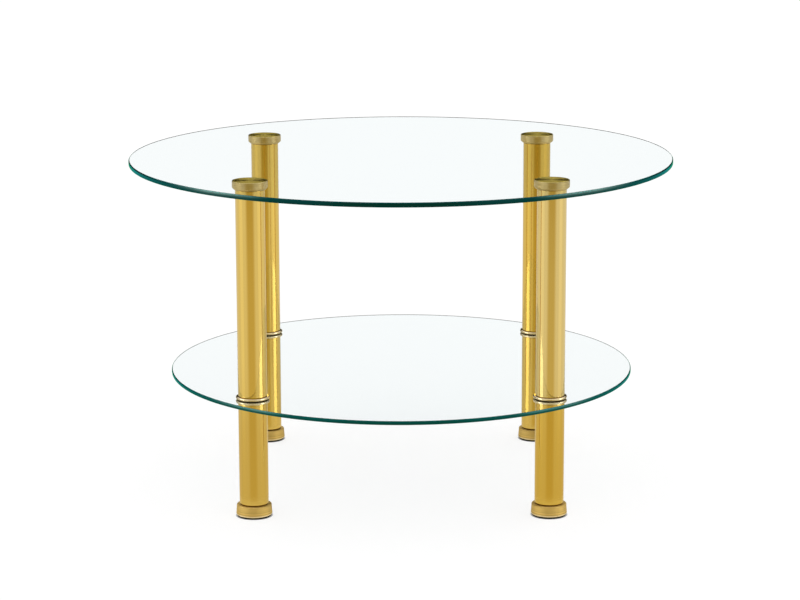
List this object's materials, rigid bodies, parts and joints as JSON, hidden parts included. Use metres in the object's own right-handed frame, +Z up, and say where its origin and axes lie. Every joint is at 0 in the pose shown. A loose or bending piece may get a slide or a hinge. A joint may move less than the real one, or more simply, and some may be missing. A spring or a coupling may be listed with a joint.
{
  "type": "coffee table",
  "caption": "Round two-tier glass coffee table on gold tubular legs, with a drilled shelf clamped between the leg tubes and screw-in levelling feet.",
  "frame": {"origin": "on the floor under the middle of the table", "axes": "+Z up, -Y towards the viewer of the picture, +X to the right"},
  "size_m": [0.6999, 0.7, 0.427],
  "materials": {
    "clear_glass": "clear float glass with a polished green rim",
    "polished_gold": "mirror-polished steel with a gold coating",
    "satin_gold": "turned steel with a satin gold coating",
    "plain_steel": "zinc-plated steel",
    "black_rubber": "matt black rubber",
    "white_nylon": "natural nylon",
    "clear_adhesive": "cured clear adhesive"
  },
  "bodies": {
    "table": {"bond_films": "clear_adhesive", "cap_studs": "plain_steel", "lower_collar_back_left": "polished_gold", "lower_collar_back_right": "polished_gold", "lower_collar_front_left": "polished_gold", "lower_collar_front_right": "polished_gold", "lower_gaskets": "black_rubber", "lower_tube_back_left": "polished_gold", "lower_tube_back_right": "polished_gold", "lower_tube_base_insert_back_left": "plain_steel", "lower_tube_base_insert_back_right": "plain_steel", "lower_tube_base_insert_front_left": "plain_steel", "lower_tube_base_insert_front_right": "plain_steel", "lower_tube_front_left": "polished_gold", "lower_tube_front_right": "polished_gold", "lower_tube_top_insert_back_left": "plain_steel", "lower_tube_top_insert_back_right": "plain_steel", "lower_tube_top_insert_front_left": "plain_steel", "lower_tube_top_insert_front_right": "plain_steel", "shelf_bushes": "white_nylon", "shelf_glass": "clear_glass", "shelf_studs": "plain_steel", "top_cap_back_left": "satin_gold", "top_cap_back_right": "satin_gold", "top_cap_front_left": "satin_gold", "top_cap_front_right": "satin_gold", "top_glass": "clear_glass", "upper_collar_back_left": "polished_gold", "upper_collar_back_right": "polished_gold", "upper_collar_front_left": "polished_gold", "upper_collar_front_right": "polished_gold", "upper_gaskets": "black_rubber", "upper_tube_back_left": "polished_gold", "upper_tube_back_right": "polished_gold", "upper_tube_base_insert_back_left": "plain_steel", "upper_tube_base_insert_back_right": "plain_steel", "upper_tube_base_insert_front_left": "plain_steel", "upper_tube_base_insert_front_right": "plain_steel", "upper_tube_front_left": "polished_gold", "upper_tube_front_right": "polished_gold", "upper_tube_top_insert_back_left": "plain_steel", "upper_tube_top_insert_back_right": "plain_steel", "upper_tube_top_insert_front_left": "plain_steel", "upper_tube_top_insert_front_right": "plain_steel"},
    "glide_front_left": {"foot_pad_front_left": "black_rubber"},
    "foot_front_left": {"foot_cup_front_left": "satin_gold", "foot_stud_front_left": "plain_steel"},
    "glide_front_right": {"foot_pad_front_right": "black_rubber"},
    "foot_front_right": {"foot_cup_front_right": "satin_gold", "foot_stud_front_right": "plain_steel"},
    "glide_back_left": {"foot_pad_back_left": "black_rubber"},
    "foot_back_left": {"foot_cup_back_left": "satin_gold", "foot_stud_back_left": "plain_steel"},
    "glide_back_right": {"foot_pad_back_right": "black_rubber"},
    "foot_back_right": {"foot_cup_back_right": "satin_gold", "foot_stud_back_right": "plain_steel"}
  },
  "joints": [
    {"name": "foot_front_left_rise", "type": "slide", "parent": "table", "child": "glide_front_left", "axis": [0, 0, -1], "range_m": [0, 0.009]},
    {"name": "foot_front_left_turn", "type": "hinge", "parent": "glide_front_left", "child": "foot_front_left", "pos_m": [-0.18498, -0.18498, 0.0104], "axis": [0, 0, -1], "range_deg": [0, 2160]},
    {"name": "foot_front_right_rise", "type": "slide", "parent": "table", "child": "glide_front_right", "axis": [0, 0, -1], "range_m": [0, 0.009]},
    {"name": "foot_front_right_turn", "type": "hinge", "parent": "glide_front_right", "child": "foot_front_right", "pos_m": [0.18498, -0.18498, 0.0104], "axis": [0, 0, -1], "range_deg": [0, 2160]},
    {"name": "foot_back_left_rise", "type": "slide", "parent": "table", "child": "glide_back_left", "axis": [0, 0, -1], "range_m": [0, 0.009]},
    {"name": "foot_back_left_turn", "type": "hinge", "parent": "glide_back_left", "child": "foot_back_left", "pos_m": [-0.18498, 0.18498, 0.0104], "axis": [0, 0, -1], "range_deg": [0, 2160]},
    {"name": "foot_back_right_rise", "type": "slide", "parent": "table", "child": "glide_back_right", "axis": [0, 0, -1], "range_m": [0, 0.009]},
    {"name": "foot_back_right_turn", "type": "hinge", "parent": "glide_back_right", "child": "foot_back_right", "pos_m": [0.18498, 0.18498, 0.0104], "axis": [0, 0, -1], "range_deg": [0, 2160]}
  ],
  "couplings": [
    {"joint": "foot_front_left_rise", "follows": "foot_front_left_turn", "m_per_rad": 0.00023873},
    {"joint": "foot_front_right_rise", "follows": "foot_front_right_turn", "m_per_rad": 0.00023873},
    {"joint": "foot_back_left_rise", "follows": "foot_back_left_turn", "m_per_rad": 0.00023873},
    {"joint": "foot_back_right_rise", "follows": "foot_back_right_turn", "m_per_rad": 0.00023873}
  ]
}
